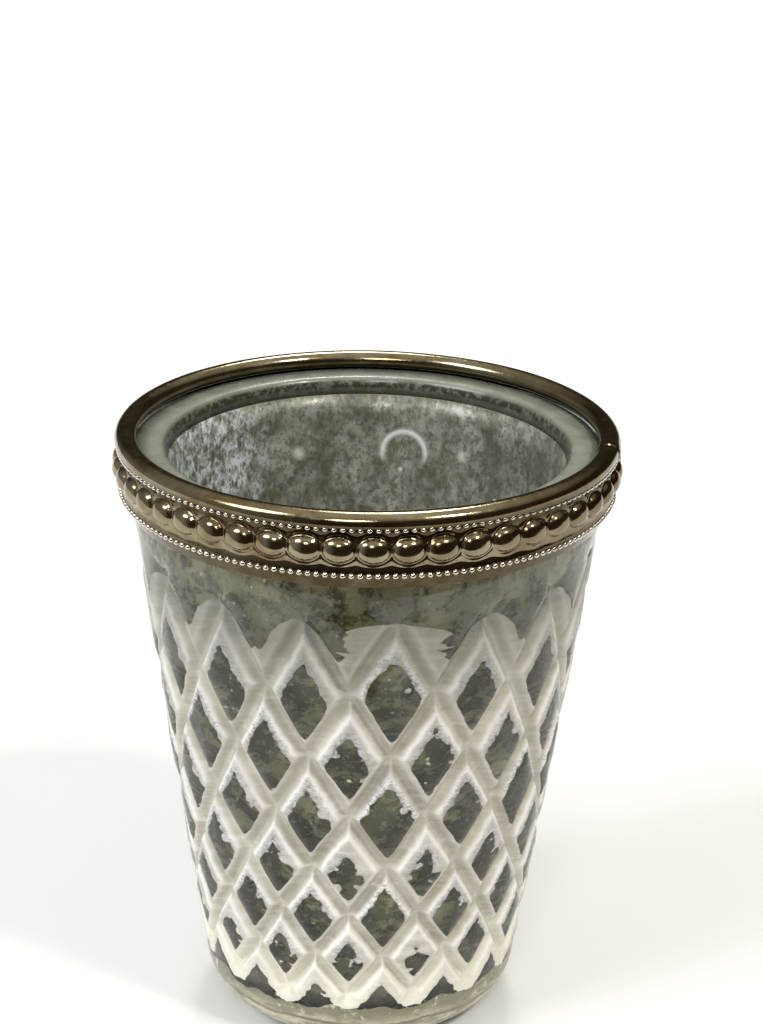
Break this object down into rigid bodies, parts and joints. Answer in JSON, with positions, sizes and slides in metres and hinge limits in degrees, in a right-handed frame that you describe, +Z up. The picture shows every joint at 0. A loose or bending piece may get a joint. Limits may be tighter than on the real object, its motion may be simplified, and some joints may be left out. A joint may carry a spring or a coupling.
{
  "type": "tealight holder",
  "caption": "Tapered pressed-glass tealight holder with a raised diamond pattern, white-painted grooves, silvered inside and a beaded metal rim band.",
  "frame": {"origin": "centre of the resting face, at the bottom of the bounding box", "axes": "+Z up along the cup's axis, out of the mouth; -Y towards the side that the picture shows"},
  "size_m": [0.08, 0.08, 0.0989],
  "materials": {
    "clear_glass": "clear pressed glass, fire polished",
    "white_paint": "thin brushed and wiped white paint",
    "mercury_silver": "mottled silver coat with dark specks",
    "band_nickel": "bright nickel tone plating over brass strip",
    "band_adhesive": "cured clear adhesive"
  },
  "bodies": {
    "root": {"glass_cup": "clear_glass", "whitewash": "white_paint", "inner_silvering": "mercury_silver", "rim_band": "band_nickel", "rim_adhesive": "band_adhesive"}
  },
  "joints": []
}
